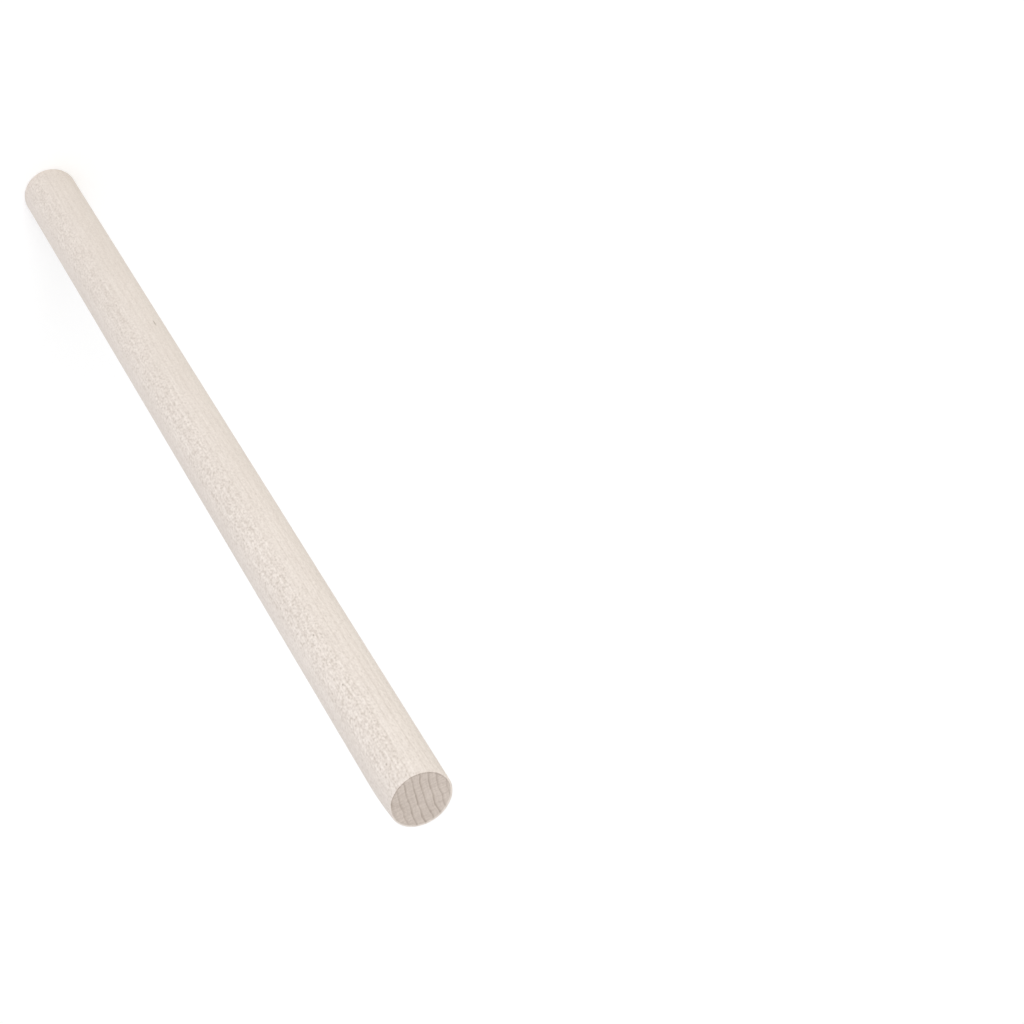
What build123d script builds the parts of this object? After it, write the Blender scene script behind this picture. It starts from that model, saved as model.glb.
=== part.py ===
from build123d import *
import os

os.makedirs("parts", exist_ok=True)

# A round craft rod, in millimetres, standing on its lower end with its axis on +Z
ROD_DIAMETER = 15.0
ROD_LENGTH = 300.0

# A pass of sandpaper takes the sharp arris off both sawn ends, and takes a
# little more off the end face than off the side
ARRIS_RADIAL = 0.5
ARRIS_AXIAL = 0.35

rod_radius = ROD_DIAMETER / 2

# The rod is one turned piece of hardwood: half of its section, from the axis
# out to the surface, is spun round the axis
with BuildPart() as dowel_rod:
    with BuildSketch(Plane.XZ):
        with BuildLine():
            Polyline(
                (0, 0),
                (rod_radius - ARRIS_RADIAL, 0),
                (rod_radius, ARRIS_AXIAL),
                (rod_radius, ROD_LENGTH - ARRIS_AXIAL),
                (rod_radius - ARRIS_RADIAL, ROD_LENGTH),
                (0, ROD_LENGTH),
                close=True,
            )
        make_face()
    revolve(axis=Axis.Z)

dowel_rod.part.label = "dowel_rod"
export_step(dowel_rod.part, "parts/dowel_rod.step")
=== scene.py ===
import math

import bpy
from mathutils import Matrix, Vector


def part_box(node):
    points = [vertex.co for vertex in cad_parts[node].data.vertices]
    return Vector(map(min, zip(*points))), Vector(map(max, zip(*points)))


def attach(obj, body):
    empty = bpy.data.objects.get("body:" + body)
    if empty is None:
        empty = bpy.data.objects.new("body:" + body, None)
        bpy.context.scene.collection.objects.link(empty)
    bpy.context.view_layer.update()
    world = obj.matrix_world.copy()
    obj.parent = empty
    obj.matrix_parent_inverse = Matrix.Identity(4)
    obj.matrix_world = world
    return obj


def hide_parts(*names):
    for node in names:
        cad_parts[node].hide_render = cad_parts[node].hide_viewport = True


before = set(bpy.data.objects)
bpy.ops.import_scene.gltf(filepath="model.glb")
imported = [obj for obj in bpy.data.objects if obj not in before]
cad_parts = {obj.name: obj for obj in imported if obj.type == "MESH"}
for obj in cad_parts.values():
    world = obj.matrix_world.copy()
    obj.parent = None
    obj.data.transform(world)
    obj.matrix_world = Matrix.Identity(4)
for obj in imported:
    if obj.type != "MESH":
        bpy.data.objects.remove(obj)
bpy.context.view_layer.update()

# The camera. The photograph looks along the rod from its near end, which is the
# rod's upper end here. The two ends' centres, the lens and the distance to the
# near end were worked out from the outline of both ends and both sides.
ROD_LOW, ROD_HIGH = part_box("dowel_rod")
ROD_RADIUS = (ROD_HIGH.x - ROD_LOW.x) / 2
ROD_LENGTH = ROD_HIGH.z - ROD_LOW.z
PHOTO_WIDTH = 1024
LENS_IN_PIXELS = 3200
NEAR_END_PIXEL = (420.8, 801.3)
FAR_END_PIXEL = (50.6, 193.2)
NEAR_END_DEPTH = 0.6645
NEAREST_SEEN = 0.01
SENSOR_WIDTH = 36


def sight_line(pixel):
    """From the lens through a pixel of the photograph, as far as a depth of one."""
    across = (pixel[0] - PHOTO_WIDTH / 2) / LENS_IN_PIXELS
    down = (pixel[1] - PHOTO_WIDTH / 2) / LENS_IN_PIXELS
    return Vector((across, -down, -1))


def depth_at_distance(line, point, distance):
    """The depth on a sight line, beyond a point, that lies at a distance from that point."""
    middle = line.dot(point) / line.dot(line)
    gap = point - line * middle
    return middle + math.sqrt((distance**2 - gap.dot(gap)) / line.dot(line))


def add_camera():
    """Stands the camera where both ends of the upright rod fall on their pixels."""
    near_end = sight_line(NEAR_END_PIXEL) * NEAR_END_DEPTH
    far_line = sight_line(FAR_END_PIXEL)
    far_end = far_line * depth_at_distance(far_line, near_end, ROD_LENGTH)
    up = (near_end - far_end).normalized()
    front = (up * up.dot(near_end) - near_end).normalized()
    turn = Matrix((front.cross(up) * -1, front * -1, up))
    data = bpy.data.cameras.new("camera")
    data.sensor_width = SENSOR_WIDTH
    data.lens = LENS_IN_PIXELS / PHOTO_WIDTH * SENSOR_WIDTH
    data.clip_start = NEAREST_SEEN
    camera = bpy.data.objects.new("camera", data)
    place = Vector((0, 0, ROD_HIGH.z)) - turn @ near_end
    camera.matrix_world = Matrix.Translation(place) @ turn.to_4x4()
    bpy.context.scene.collection.objects.link(camera)
    bpy.context.scene.camera = camera


add_camera()


# The rod's shape. The real one is a square stick of pale hardwood driven through a
# round cutter, sanded along its length and sawn off. The mesh is its half section
# carried round the axis. Its upper end is rubbed down on a flank and cut out of square.
MILLIMETRE = 0.001
FACES_AROUND = 180
FACES_ALONG = 400
FACES_ACROSS_END = 36
FACES_OVER_ARRIS = 5
WELD = 0.002 * MILLIMETRE
SHAPE_SEED = 7

# Both arrises are worn unevenly, and on the cut's low side more in width and less in depth
ARRIS_WIDTH = 0.34 * MILLIMETRE
ARRIS_DEPTH = 0.25 * MILLIMETRE
WEAR_SHIFT = 0.55
WEAR_PATCHES = 2.2

# The two ends, by where in the noise each one's wear lies
LOW_END = 0.0
HIGH_END = 5.0

# The sander leaves long shallow flats, with shorter and narrower ones over them
FLAT_DEPTH = 0.05 * MILLIMETRE
FLAT_LENGTH = 70 * MILLIMETRE
SHORT_FLAT_LENGTH = 18 * MILLIMETRE
SHORT_FLATS_AROUND = 4.0
SHORT_FLAT_SHARE = 0.3

# The upper end is rubbed down on one flank, and its cut leans by this much of its width
TAPER = 0.72 * MILLIMETRE
TAPER_LENGTH = 16 * MILLIMETRE
TAPER_CURVE = 2.5
RUBBED_BEARING = math.radians(-25)
LEAN = 0.078
LEAN_LENGTH = 12 * MILLIMETRE
HIGH_BEARING = math.radians(-72)

# The saw's marks, which both ends have
SAW_DEPTH = 0.02 * MILLIMETRE
SAW_PITCH = 1.1 * MILLIMETRE
SAW_SLANT = 0.35
SAW_MARK_LENGTH = 9 * SAW_PITCH

# The mesh keeps how far out each point of a sawn end is, from 0 to 1, for its finish
RIM = "rim"


def add_node(tree, kind, inputs=None, **settings):
    """Adds a node to a tree. An input is named or numbered, and is linked or set."""
    node = tree.nodes.new(kind)
    for name, value in settings.items():
        setattr(node, name, value)
    for name, value in (inputs or {}).items():
        if isinstance(value, bpy.types.NodeSocket):
            tree.links.new(value, node.inputs[name])
        else:
            node.inputs[name].default_value = value
    return node


def calc(tree, operation, *values):
    """A sum on up to three values or fields."""
    return add_node(tree, "ShaderNodeMath", dict(enumerate(values)), operation=operation).outputs[0]


def vector(tree, x, y, z):
    return add_node(tree, "ShaderNodeCombineXYZ", {0: x, 1: y, 2: z}).outputs[0]


def parts_of(tree, place):
    """The three parts of a place or a direction."""
    return add_node(tree, "ShaderNodeSeparateXYZ", {0: place}).outputs


def noise(tree, place, detail=2.0):
    """Smooth noise with cells one unit wide, from 0 to 1 and mostly near 0.5."""
    inputs = {"Vector": place, "Scale": 1.0, "Detail": detail}
    return add_node(tree, "ShaderNodeTexNoise", inputs).outputs[0]


def remap(tree, value, low, high, to_low=0.0, to_high=1.0):
    """A value eased from one range to another, and held at both ends."""
    inputs = {0: value, 1: low, 2: high, 3: to_low, 4: to_high}
    return add_node(tree, "ShaderNodeMapRange", inputs, interpolation_type="SMOOTHSTEP").outputs[0]


def toward(tree, x, y, bearing):
    """How far a place lies toward a bearing."""
    return calc(tree, "MULTIPLY_ADD", x, math.cos(bearing), calc(tree, "MULTIPLY", y, math.sin(bearing)))


def wear_at(tree, sizes, turn, end, shift):
    """How far an arris is worn round the turn: about one, and more by the shift on the cut's high side."""
    x = calc(tree, "MULTIPLY_ADD", turn[0], WEAR_PATCHES, end)
    y = calc(tree, "MULTIPLY", turn[1], WEAR_PATCHES)
    worn = noise(tree, vector(tree, x, y, sizes["Seed"]), detail=5.0)
    worn = calc(tree, "MULTIPLY_ADD", toward(tree, *turn, HIGH_BEARING), shift, worn)
    return calc(tree, "ADD", worn, 0.5)


def radius_at(tree, sizes, turn, height):
    """The sanded radius: full, less the sander's flats and what is rubbed off near the top."""
    x = calc(tree, "ADD", turn[0], sizes["Seed"])
    long_flats = vector(tree, x, turn[1], calc(tree, "DIVIDE", height, FLAT_LENGTH))
    long_flats = noise(tree, long_flats, detail=1.0)
    x = calc(tree, "MULTIPLY", turn[0], SHORT_FLATS_AROUND)
    y = calc(tree, "MULTIPLY", turn[1], SHORT_FLATS_AROUND)
    short_flats = vector(tree, x, y, calc(tree, "DIVIDE", height, SHORT_FLAT_LENGTH))
    short_flats = noise(tree, short_flats, detail=3.0)
    flats = calc(tree, "MULTIPLY_ADD", short_flats, SHORT_FLAT_SHARE, long_flats)
    flats = calc(tree, "MULTIPLY", flats, sizes["Flat Depth"])

    from_top = calc(tree, "SUBTRACT", sizes["Length"], height)
    near_top = calc(tree, "MAXIMUM", calc(tree, "MULTIPLY_ADD", from_top, -1 / TAPER_LENGTH, 1.0), 0.0)
    on_flank = calc(tree, "MULTIPLY_ADD", toward(tree, *turn, RUBBED_BEARING), 0.5, 0.5)
    rubbed = calc(tree, "MULTIPLY", on_flank, on_flank)
    rubbed = calc(tree, "MULTIPLY", rubbed, calc(tree, "POWER", near_top, TAPER_CURVE))
    taper = calc(tree, "MULTIPLY", rubbed, sizes["Taper"])
    return calc(tree, "SUBTRACT", sizes["Radius"], calc(tree, "ADD", flats, taper))


def surface_strip(tree, rows, section, material, inside_out):
    """A strip of the rod's surface carried all round, with its section given by a function.

    The section gives each point's radius, its height and how far out it is on a sawn end.
    """
    counts = {"Size X": 1.0, "Size Y": 1.0, "Vertices X": FACES_AROUND + 1, "Vertices Y": rows + 1}
    grid = add_node(tree, "GeometryNodeMeshGrid", counts).outputs["Mesh"]
    across, along, _ = parts_of(tree, add_node(tree, "GeometryNodeInputPosition").outputs[0])
    angle = calc(tree, "MULTIPLY", calc(tree, "ADD", across, 0.5), math.tau)
    turn = (calc(tree, "COSINE", angle), calc(tree, "SINE", angle))
    radius, height, rim = section(turn, calc(tree, "ADD", along, 0.5))
    named = {"Geometry": grid, "Name": RIM, "Value": rim}
    strip = add_node(tree, "GeometryNodeStoreNamedAttribute", named, data_type="FLOAT").outputs[0]
    place = vector(tree, *(calc(tree, "MULTIPLY", radius, part) for part in turn), height)
    strip = add_node(tree, "GeometryNodeSetPosition", {"Geometry": strip, "Position": place}).outputs[0]
    if inside_out:
        strip = add_node(tree, "GeometryNodeFlipFaces", {"Mesh": strip}).outputs[0]
    return add_node(tree, "GeometryNodeSetMaterial", {"Geometry": strip, "Material": material}).outputs[0]


def rod_tree(sizes_given, side_material, end_material):
    """The tree that turns the rod, with its sizes as named inputs."""
    tree = bpy.data.node_groups.new("turned_rod", "GeometryNodeTree")
    for name in sizes_given:
        tree.interface.new_socket(name, in_out="INPUT", socket_type="NodeSocketFloat")
    tree.interface.new_socket("Rod", in_out="OUTPUT", socket_type="NodeSocketGeometry")
    sizes = add_node(tree, "NodeGroupInput").outputs

    def arris_depth(turn, end):
        return calc(tree, "MULTIPLY", wear_at(tree, sizes, turn, end, WEAR_SHIFT), sizes["Arris Depth"])

    def arris_width(turn, end):
        return calc(tree, "MULTIPLY", wear_at(tree, sizes, turn, end, -WEAR_SHIFT), sizes["Arris Width"])

    def side(turn, share):
        start = arris_depth(turn, LOW_END)
        stop = calc(tree, "SUBTRACT", sizes["Length"], arris_depth(turn, HIGH_END))
        height = calc(tree, "MULTIPLY_ADD", calc(tree, "SUBTRACT", stop, start), share, start)
        return radius_at(tree, sizes, turn, height), height, 1.0

    def arris(end):
        def section(turn, share):
            angle = calc(tree, "MULTIPLY", share, math.pi / 2)
            gone = calc(tree, "SUBTRACT", 1.0, calc(tree, "SINE", angle))
            height = calc(tree, "MULTIPLY", arris_depth(turn, end), gone)
            if end == HIGH_END:
                height = calc(tree, "SUBTRACT", sizes["Length"], height)
            gone = calc(tree, "SUBTRACT", 1.0, calc(tree, "COSINE", angle))
            lost = calc(tree, "MULTIPLY", arris_width(turn, end), gone)
            return calc(tree, "SUBTRACT", radius_at(tree, sizes, turn, height), lost), height, 1.0
        return section

    def sawn(end):
        def section(turn, share):
            height = sizes["Length"] if end == HIGH_END else 0.0
            edge = calc(tree, "SUBTRACT", radius_at(tree, sizes, turn, height), arris_width(turn, end))
            return calc(tree, "MULTIPLY", edge, share), height, share
        return section

    joined = add_node(tree, "GeometryNodeJoinGeometry")
    for strip in (
        surface_strip(tree, FACES_ALONG, side, side_material, False),
        surface_strip(tree, FACES_OVER_ARRIS, arris(LOW_END), side_material, True),
        surface_strip(tree, FACES_OVER_ARRIS, arris(HIGH_END), side_material, False),
        surface_strip(tree, FACES_ACROSS_END, sawn(LOW_END), end_material, False),
        surface_strip(tree, FACES_ACROSS_END, sawn(HIGH_END), end_material, True),
    ):
        tree.links.new(strip, joined.inputs[0])
    seams = {"Geometry": joined.outputs[0], "Distance": WELD}
    welded = add_node(tree, "GeometryNodeMergeByDistance", seams).outputs[0]

    # Shallow saw marks lie across both ends and die out over the arris
    x, y, height = parts_of(tree, add_node(tree, "GeometryNodeInputPosition").outputs[0])
    from_top = calc(tree, "SUBTRACT", sizes["Length"], height)
    across = calc(tree, "DIVIDE", calc(tree, "MULTIPLY_ADD", x, SAW_SLANT, y), SAW_PITCH)
    sweep = vector(tree, across, calc(tree, "DIVIDE", x, SAW_MARK_LENGTH), height)
    depth = calc(tree, "MULTIPLY", noise(tree, sweep), sizes["Saw Depth"])
    near_top = remap(tree, from_top, 0.0, ARRIS_DEPTH, 1.0, 0.0)
    near_base = remap(tree, height, 0.0, ARRIS_DEPTH, 1.0, 0.0)
    inward = calc(tree, "MULTIPLY", depth, calc(tree, "SUBTRACT", near_base, near_top))

    # The upper end's cut leans: it is full height on one side and lower on the other
    drop = calc(tree, "SUBTRACT", sizes["Radius"], toward(tree, x, y, HIGH_BEARING))
    drop = calc(tree, "MULTIPLY", drop, sizes["Lean"])
    near_cut = remap(tree, from_top, 0.0, LEAN_LENGTH, 1.0, 0.0)
    inward = calc(tree, "SUBTRACT", inward, calc(tree, "MULTIPLY", drop, near_cut))
    marks = {"Geometry": welded, "Offset": vector(tree, 0.0, 0.0, inward)}
    marked = add_node(tree, "GeometryNodeSetPosition", marks).outputs[0]
    smooth = add_node(tree, "GeometryNodeSetShadeSmooth", {"Geometry": marked}).outputs[0]
    real = add_node(tree, "GeometryNodeRealizeInstances", {"Geometry": smooth}).outputs[0]
    add_node(tree, "NodeGroupOutput", {"Rod": real})
    return tree


def make_rod(side_material, end_material):
    """Runs the tree on an empty maker and keeps what it gives as a plain mesh."""
    values = {
        "Radius": ROD_RADIUS,
        "Length": ROD_LENGTH,
        "Arris Width": ARRIS_WIDTH,
        "Arris Depth": ARRIS_DEPTH,
        "Taper": TAPER,
        "Lean": LEAN,
        "Flat Depth": FLAT_DEPTH,
        "Saw Depth": SAW_DEPTH,
        "Seed": SHAPE_SEED,
    }
    maker = bpy.data.objects.new("rod_maker", bpy.data.meshes.new("rod_maker"))
    bpy.context.scene.collection.objects.link(maker)
    modifier = maker.modifiers.new("turned_rod", "NODES")
    modifier.node_group = rod_tree(values, side_material, end_material)
    for socket in modifier.node_group.interface.items_tree:
        if socket.in_out == "INPUT":
            modifier[socket.identifier] = float(values[socket.name])
    ready = maker.evaluated_get(bpy.context.evaluated_depsgraph_get())
    mesh = bpy.data.meshes.new_from_object(ready)
    mesh.name = "wooden_rod"
    bpy.data.objects.remove(maker)
    rod = bpy.data.objects.new("wooden_rod", mesh)
    bpy.context.scene.collection.objects.link(rod)
    return rod


# The wood. It is pale, close-grained and left raw. Its figure is cut from one solid:
# rings about a heart that lay outside the rod, rays that run out from the heart, and
# fibres and pores that run along the rod. The figure's sizes are in millimetres.
HEART = (-59.0, 10.0)
MIDDLE_RING = 58.8
RING_WIDTH = 1.79
RING_PEAK = 0.94
RAY_BEARING = math.atan2(-HEART[1], -HEART[0])
FLECK_BEARING = math.radians(15)

# A ring ends in a dark line that swells over its last third and then stops short. Two
# lines near the axis are the strongest, and the others fade with distance from them.
LINE_SWELL = (0.65, 0.94)
LINE_STOP = (0.94, 1.0)
LINE_FADE = (1.5, 6.5)
FAINTEST_LINE = 0.5
FAINTEST_PATCH = 0.55
PATCH_RANGE = (0.35, 0.65)
FINE_LINES = 1.7
FINE_LINES_ALONG = 0.01

# How far the rings sway: everywhere, and for each millimetre below the top
QUICK_SWAY = 0.75
SLOW_SWAY = 0.012

# The size of each noise's cells, along its bearing, across it and up the rod
SLOW_CELLS = (30, 30, 90)
QUICK_CELLS = (2.4, 2.4, 24)
PATCH_CELLS = (1.8, 1.8, 12)
RAY_CELLS = (3.0, 0.25, 0.9)
FLECK_CELLS = (0.5, 0.36, 0.85)
ROW_CELLS = (0.42, 0.42, 9)
FIBRE_CELLS = (0.16, 0.16, 5.0)
CLOUD_CELLS = (9, 9, 42)
PORE_CELLS = (0.32, 0.32, 2.4)
PORE_EDGE = (0.12, 0.34)


def stretched(tree, place, cells, bearing=0.0):
    """A place counted in cells of the given sizes, with the cells turned to a bearing."""
    turn = {"Vector": place, "Angle": -bearing}
    turned = add_node(tree, "ShaderNodeVectorRotate", turn, rotation_type="Z_AXIS").outputs[0]
    counts = {0: turned, 1: [1 / size for size in cells]}
    return add_node(tree, "ShaderNodeVectorMath", counts, operation="MULTIPLY").outputs[0]


def ring_line(tree, place, swayed):
    """The dark line that each ring ends in, from 0 to 1."""
    from_middle = calc(tree, "SUBTRACT", swayed, MIDDLE_RING)
    grown = calc(tree, "FRACT", calc(tree, "MULTIPLY_ADD", from_middle, 1 / RING_WIDTH, RING_PEAK))
    late = calc(tree, "MULTIPLY", remap(tree, grown, *LINE_SWELL), remap(tree, grown, *LINE_STOP, 1.0, 0.0))
    patches = noise(tree, stretched(tree, place, PATCH_CELLS))
    patches = remap(tree, patches, *PATCH_RANGE, FAINTEST_PATCH, 1.0)
    off_pair = calc(tree, "ABSOLUTE", calc(tree, "SUBTRACT", from_middle, RING_WIDTH / 2))
    faded = calc(tree, "MULTIPLY", patches, remap(tree, off_pair, *LINE_FADE, 1.0, FAINTEST_LINE))
    return calc(tree, "MULTIPLY", late, faded)


def figure_group():
    """The wood's figure at a place in the solid. Its noises lie mostly near 0.5."""
    tree = bpy.data.node_groups.new("hardwood_figure", "ShaderNodeTree")
    tree.interface.new_socket("Place", in_out="INPUT", socket_type="NodeSocketVector")
    given = add_node(tree, "NodeGroupInput").outputs["Place"]
    scale = {0: given, "Scale": 1 / MILLIMETRE}
    place = add_node(tree, "ShaderNodeVectorMath", scale, operation="SCALE").outputs[0]
    x, y, height = parts_of(tree, place)

    # Rings: distance from the heart, swaying more the further down the rod they run
    out = vector(tree, calc(tree, "SUBTRACT", x, HEART[0]), calc(tree, "SUBTRACT", y, HEART[1]), 0.0)
    distance = add_node(tree, "ShaderNodeVectorMath", {0: out}, operation="LENGTH").outputs["Value"]
    below = calc(tree, "SUBTRACT", ROD_LENGTH / MILLIMETRE, height)
    slow = calc(tree, "SUBTRACT", noise(tree, stretched(tree, place, SLOW_CELLS), detail=1.0), 0.5)
    quick = calc(tree, "SUBTRACT", noise(tree, stretched(tree, place, QUICK_CELLS), detail=1.0), 0.5)
    swayed = calc(tree, "MULTIPLY_ADD", quick, QUICK_SWAY, distance)
    swayed = calc(tree, "MULTIPLY_ADD", slow, calc(tree, "MULTIPLY", below, SLOW_SWAY), swayed)
    fine_across = calc(tree, "MULTIPLY", swayed, FINE_LINES)
    fine_lines = vector(tree, fine_across, 0.0, calc(tree, "MULTIPLY", height, FINE_LINES_ALONG))

    cells = {"Vector": stretched(tree, place, PORE_CELLS), "Scale": 1.0}
    nearest = add_node(tree, "ShaderNodeTexVoronoi", cells).outputs["Distance"]
    figure = {
        "Ring Line": ring_line(tree, place, swayed),
        "Ring Tone": noise(tree, fine_lines, detail=3.0),
        "Ray": noise(tree, stretched(tree, place, RAY_CELLS, RAY_BEARING), detail=1.0),
        "Fleck": noise(tree, stretched(tree, place, FLECK_CELLS, FLECK_BEARING), detail=1.0),
        "Row": noise(tree, stretched(tree, place, ROW_CELLS), detail=1.0),
        "Fibre": noise(tree, stretched(tree, place, FIBRE_CELLS)),
        "Cloud": noise(tree, stretched(tree, place, CLOUD_CELLS)),
        "Pore": remap(tree, nearest, *PORE_EDGE, 1.0, 0.0),
    }
    for name in figure:
        tree.interface.new_socket(name, in_out="OUTPUT", socket_type="NodeSocketFloat")
    add_node(tree, "NodeGroupOutput", figure)
    return tree


FIGURE = figure_group()


def seen_colour(red, green, blue):
    """A colour given as it looks on a screen, from 0 to 255, made linear."""
    return (*[((c / 255 + 0.055) / 1.055) ** 2.4 for c in (red, green, blue)], 1.0)


def mix_colour(tree, factor, first, second):
    node = add_node(tree, "ShaderNodeMix", {"Factor": factor}, data_type="RGBA")
    for socket, value in ((node.inputs[6], first), (node.inputs[7], second)):
        if isinstance(value, bpy.types.NodeSocket):
            tree.links.new(value, socket)
        else:
            socket.default_value = value
    return node.outputs[2]


def stained(tree, colour, mask, share, stain):
    """A colour with a share of a stain laid over it wherever a mask shows."""
    return mix_colour(tree, calc(tree, "MULTIPLY", mask, share), colour, stain)


def blend(tree, start, *parts):
    """A start value plus each noise's swing about 0.5, times its weight."""
    for swing, weight in parts:
        start = calc(tree, "MULTIPLY_ADD", calc(tree, "SUBTRACT", swing, 0.5), weight, start)
    return start


def new_finish(name):
    """An empty material, with the wood's figure at the object's own coordinates."""
    material = bpy.data.materials.new(name)
    material.use_nodes = True
    tree = material.node_tree
    tree.nodes.clear()
    place = add_node(tree, "ShaderNodeTexCoord").outputs["Object"]
    figure = add_node(tree, "ShaderNodeGroup", node_tree=FIGURE)
    tree.links.new(place, figure.inputs["Place"])
    return material, tree, place, figure.outputs


RAW_WOOD_GLOSS = 0.3


def close_finish(tree, colour, roughness, height, relief):
    """Raw wood's shader, with a height from 0 to 1 that stands for a relief."""
    raised = {"Strength": 1.0, "Distance": relief, "Height": height}
    normal = add_node(tree, "ShaderNodeBump", raised).outputs[0]
    inputs = {"Base Color": colour, "Roughness": roughness, "Normal": normal}
    inputs["Specular IOR Level"] = RAW_WOOD_GLOSS
    shader = add_node(tree, "ShaderNodeBsdfPrincipled", inputs)
    add_node(tree, "ShaderNodeOutputMaterial", {"Surface": shader.outputs[0]})


# Dark specks on the side, by bearing, millimetres below the top, half width and half length
SPECKS = [
    (-71, 1.8, 0.2, 0.3),
    (-71.7, 3.4, 0.25, 0.45),
    (-73.5, 7.5, 0.25, 0.45),
    (-80, 37.0, 0.22, 0.4),
    (-81, 57.0, 0.22, 0.4),
    (-137, 205.0, 0.22, 1.5),
]
SPECK_EDGE = (0.5, 1.3)
SPECK = seen_colour(176, 164, 152)


def specks(tree, place):
    """A mask of the few dark specks on the side."""
    mask = 0.0
    for bearing, below, half_width, half_length in SPECKS:
        angle = math.radians(bearing)
        height = ROD_LENGTH - below * MILLIMETRE
        centre = (ROD_RADIUS * math.cos(angle), ROD_RADIUS * math.sin(angle), height)
        away = add_node(tree, "ShaderNodeVectorMath", {0: place, 1: centre}, operation="SUBTRACT").outputs[0]
        size = (half_width * MILLIMETRE, half_width * MILLIMETRE, half_length * MILLIMETRE)
        away = add_node(tree, "ShaderNodeVectorMath", {0: away, 1: size}, operation="DIVIDE").outputs[0]
        away = add_node(tree, "ShaderNodeVectorMath", {0: away}, operation="LENGTH").outputs["Value"]
        mask = calc(tree, "MAXIMUM", remap(tree, away, *SPECK_EDGE, 1.0, 0.0), mask)
    return mask


# The side's long grain shows its ray fleck best in a band down each of two flanks. The
# band turns slowly round the rod and is fainter at the base, as the ring lines are.
SIDE_LIGHT = seen_colour(245, 236, 228)
SIDE_DARK = seen_colour(213, 202, 192)
SIDE_LINE = seen_colour(200, 188, 176)
SIDE_ROUGHNESS = 0.66
SIDE_RELIEF = 0.02 * MILLIMETRE
FLECK_SPIRAL = math.radians(9) / ROD_LENGTH
BAND_EDGE = 0.82 * ROD_RADIUS
BAND_MIDDLE = 0.99 * ROD_RADIUS
BAND_ELSEWHERE = 0.5
BAND_AT_BASE = 0.65
BAND_SHADE = -0.14
# The side's tone is a little darker at the base than at the top: painted shade.
SHADED_TONE_AT_BASE = 0.5
TONE_AT_TOP = 0.6
RINGS_AT_BASE = 0.12
RINGS_AT_TOP = 0.32
FLECK_WEIGHT = 1.9
ROW_WEIGHT = 0.9
DEEP_FLECK = (0.22, 0.42)


def fleck_band(tree, place, height):
    """How strongly ray fleck shows at a place on the side: one in the bands, and less elsewhere."""
    spiral = calc(tree, "MULTIPLY", calc(tree, "SUBTRACT", height, ROD_LENGTH), FLECK_SPIRAL)
    turn = {"Vector": place, "Angle": spiral}
    turned = add_node(tree, "ShaderNodeVectorRotate", turn, rotation_type="Z_AXIS").outputs[0]
    x, y, _ = parts_of(tree, turned)
    facing = calc(tree, "ABSOLUTE", toward(tree, x, y, FLECK_BEARING - math.pi / 2))
    band = remap(tree, facing, BAND_EDGE, BAND_MIDDLE, BAND_ELSEWHERE, 1.0)
    return calc(tree, "MULTIPLY", band, remap(tree, height, 0.0, ROD_LENGTH, BAND_AT_BASE, 1.0))


def sanded_side():
    """Long grain, sanded: an even tone, painted a little darker towards the base as shade, with ray fleck
    and faint ring lines.
    """
    material, tree, place, figure = new_finish("sanded_long_grain")
    height = parts_of(tree, place)[2]
    band = fleck_band(tree, place, height)
    # Painted shade: the tone darkens a little towards the base.
    plain = remap(tree, height, 0.0, ROD_LENGTH, SHADED_TONE_AT_BASE, TONE_AT_TOP)
    plain = calc(tree, "MULTIPLY_ADD", band, BAND_SHADE, plain)
    ringed = remap(tree, height, 0.0, ROD_LENGTH, RINGS_AT_BASE, RINGS_AT_TOP)
    tone = blend(
        tree,
        plain,
        (figure["Fleck"], calc(tree, "MULTIPLY", band, FLECK_WEIGHT)),
        (figure["Row"], calc(tree, "MULTIPLY", band, ROW_WEIGHT)),
        (figure["Cloud"], 0.35),
        (figure["Ring Tone"], ringed),
        (figure["Fibre"], 0.3),
    )
    colour = mix_colour(tree, tone, SIDE_DARK, SIDE_LIGHT)
    deepest = remap(tree, figure["Fleck"], *DEEP_FLECK, 0.5, 0.0)
    colour = stained(tree, colour, deepest, band, SIDE_LINE)
    colour = stained(tree, colour, figure["Ring Line"], ringed, SIDE_LINE)
    colour = stained(tree, colour, figure["Pore"], 0.12, SIDE_LINE)
    colour = stained(tree, colour, specks(tree, place), 0.8, SPECK)

    relief = blend(tree, 0.5, (figure["Fleck"], band), (figure["Fibre"], 0.4), (figure["Pore"], -0.6))
    roughness = blend(tree, SIDE_ROUGHNESS, (figure["Fibre"], 0.2))
    close_finish(tree, colour, roughness, relief, SIDE_RELIEF)
    return material


# End grain looks darker than long grain, because light sinks into its cut fibres. On
# each end the rim is darker still, in broken bites, on one side.
END_LIGHT = seen_colour(219, 207, 197)
END_DARK = seen_colour(191, 178, 168)
END_LINE = seen_colour(160, 146, 134)
END_ROUGHNESS = 0.8
END_RELIEF = 0.03 * MILLIMETRE
DARK_RIM_BEARING = math.radians(-100)
DARK_RIM_SIDE = (-0.2 * ROD_RADIUS, 0.4 * ROD_RADIUS)
DARK_RIM_EDGE = (0.93, 0.99)
DARK_RIM_BITES = (0.35, 0.6)
FAINTEST_RIM_BITE = 0.25


def rim_bites_mask(tree, place, bites):
    """A mask of the darker bites along the rim of a sawn end, on one side."""
    rim = add_node(tree, "ShaderNodeAttribute", attribute_name=RIM).outputs["Fac"]
    x, y, _ = parts_of(tree, place)
    side = remap(tree, toward(tree, x, y, DARK_RIM_BEARING), *DARK_RIM_SIDE)
    bites = remap(tree, bites, *DARK_RIM_BITES, 1.0, FAINTEST_RIM_BITE)
    return calc(tree, "MULTIPLY", calc(tree, "MULTIPLY", remap(tree, rim, *DARK_RIM_EDGE), bites), side)


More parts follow.
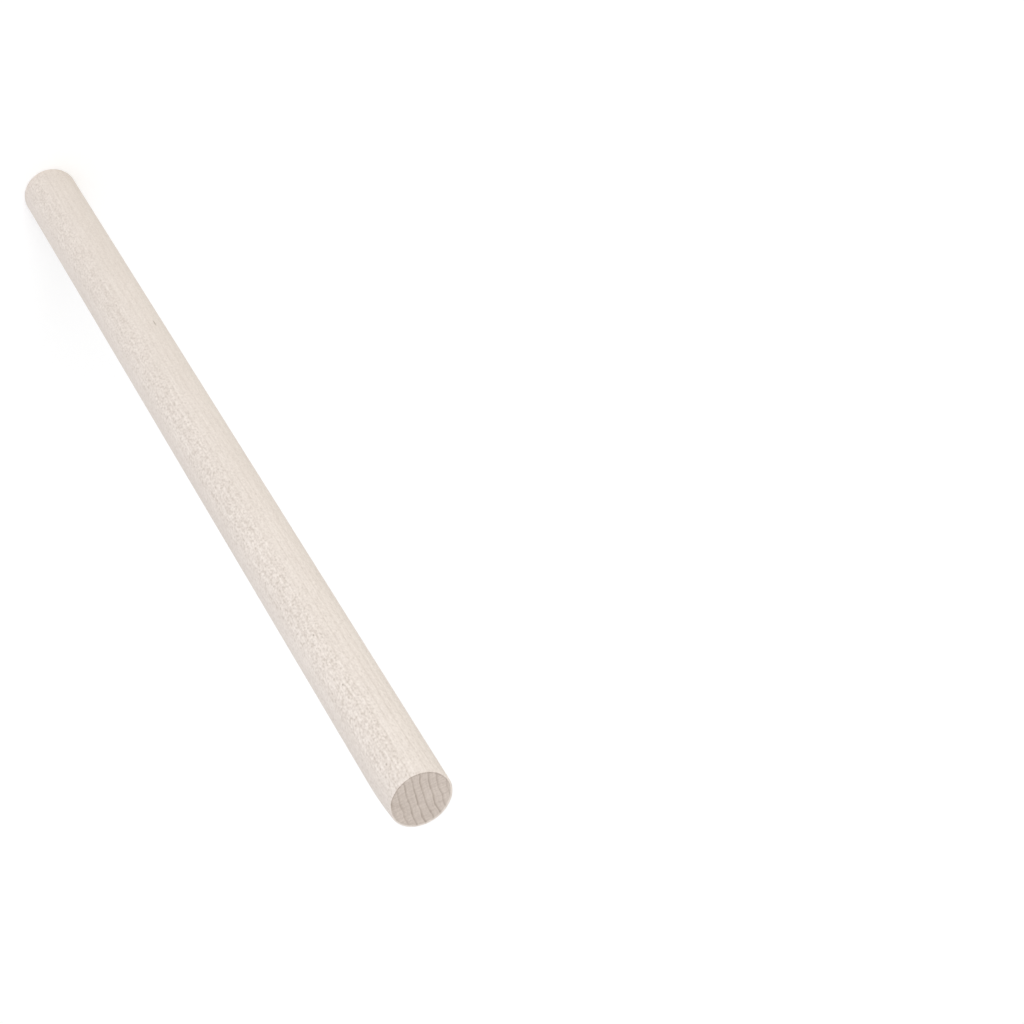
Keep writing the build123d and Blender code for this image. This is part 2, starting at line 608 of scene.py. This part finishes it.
def sawn_end():
    """End grain, sawn: plain ring lines, faint rays across them and a rim darker in bites on one side."""
    material, tree, place, figure = new_finish("sawn_end_grain")
    tone = blend(
        tree,
        0.5,
        (figure["Ring Tone"], 0.9),
        (figure["Cloud"], 0.8),
        (figure["Ray"], 1.2),
        (figure["Fleck"], 0.9),
    )
    colour = mix_colour(tree, tone, END_DARK, END_LIGHT)
    colour = stained(tree, colour, figure["Ring Line"], 0.75, END_LINE)
    colour = stained(tree, colour, figure["Pore"], 0.2, END_LINE)
    # The end is darker along its rim, in broken bites, on one side.
    colour = stained(tree, colour, rim_bites_mask(tree, place, figure["Fleck"]), 0.7, END_LINE)
    relief = blend(tree, 0.5, (figure["Ray"], 0.5), (figure["Pore"], -0.5), (figure["Ring Line"], -0.5))
    close_finish(tree, colour, END_ROUGHNESS, relief, END_RELIEF)
    return material


wooden_rod = make_rod(sanded_side(), sawn_end())
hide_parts("dowel_rod")
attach(wooden_rod, "root")


# The studio: a plain white floor that the rod stands on, one broad soft lamp on
# the camera's side and the white room's own light. The floor shows white to the
# camera and keeps the rod's soft shadow.
FLOOR_SIZE = 6.0
FLOOR_PAINT = (0.9, 0.9, 0.9, 1.0)
FLOOR_GLOW = 0.17
COOL_SIDE = (0.89, 0.90, 0.93, 1.0)
WARM_SIDE = (0.76, 0.735, 0.66, 1.0)
WARM_EDGE = 0.2
LAMP_PLACE = (-0.4, -1.4, 1.3)
LAMP_SIZE = 1.4
LAMP_WATTS = 8
WHITE = (1.0, 1.0, 1.0, 1.0)


def seen_behind(tree):
    """One for a ray that shows what is behind the rod: straight, in a gloss or through glass."""
    path = add_node(tree, "ShaderNodeLightPath").outputs
    gloss_or_glass = calc(tree, "MAXIMUM", path["Is Glossy Ray"], path["Is Transmission Ray"])
    return calc(tree, "MAXIMUM", path["Is Camera Ray"], gloss_or_glass)


def floor_material():
    material = bpy.data.materials.new("white_floor")
    material.use_nodes = True
    tree = material.node_tree
    tree.nodes.clear()
    paint = add_node(tree, "ShaderNodeBsdfDiffuse", {"Color": FLOOR_PAINT})
    glow = {"Color": WHITE, "Strength": calc(tree, "MULTIPLY", seen_behind(tree), FLOOR_GLOW)}
    glow = add_node(tree, "ShaderNodeEmission", glow)
    both = add_node(tree, "ShaderNodeAddShader", {0: paint.outputs[0], 1: glow.outputs[0]})
    add_node(tree, "ShaderNodeOutputMaterial", {"Surface": both.outputs[0]})
    return material


def add_floor():
    mesh = bpy.data.meshes.new("floor")
    half = FLOOR_SIZE / 2
    corners = [(-half, -half, 0), (half, -half, 0), (half, half, 0), (-half, half, 0)]
    mesh.from_pydata(corners, [], [(0, 1, 2, 3)])
    mesh.materials.append(floor_material())
    floor = bpy.data.objects.new("floor", mesh)
    bpy.context.scene.collection.objects.link(floor)


def add_lamp():
    """Hangs the lamp so that it faces the middle of the rod."""
    data = bpy.data.lights.new("soft_lamp", "AREA")
    data.shape = "DISK"
    data.size = LAMP_SIZE
    data.energy = LAMP_WATTS
    lamp = bpy.data.objects.new("soft_lamp", data)
    lamp.location = LAMP_PLACE
    lamp.rotation_mode = "QUATERNION"
    middle = (ROD_LOW + ROD_HIGH) / 2
    lamp.rotation_quaternion = (middle - Vector(LAMP_PLACE)).to_track_quat("-Z", "Y")
    bpy.context.scene.collection.objects.link(lamp)


def light_room():
    """White walls to the camera. Their light is warmer from the -X side than from the other."""
    world = bpy.data.worlds.new("white_room")
    world.use_nodes = True
    tree = world.node_tree
    tree.nodes.clear()
    direction = parts_of(tree, add_node(tree, "ShaderNodeTexCoord").outputs["Generated"])
    light = mix_colour(tree, remap(tree, direction[0], -1.0, WARM_EDGE), WARM_SIDE, COOL_SIDE)
    walls = {"Color": mix_colour(tree, seen_behind(tree), light, WHITE)}
    walls = add_node(tree, "ShaderNodeBackground", walls)
    add_node(tree, "ShaderNodeOutputWorld", {"Surface": walls.outputs[0]})
    bpy.context.scene.world = world


add_floor()
add_lamp()
light_room()
bpy.context.scene.view_settings.view_transform = "Standard"
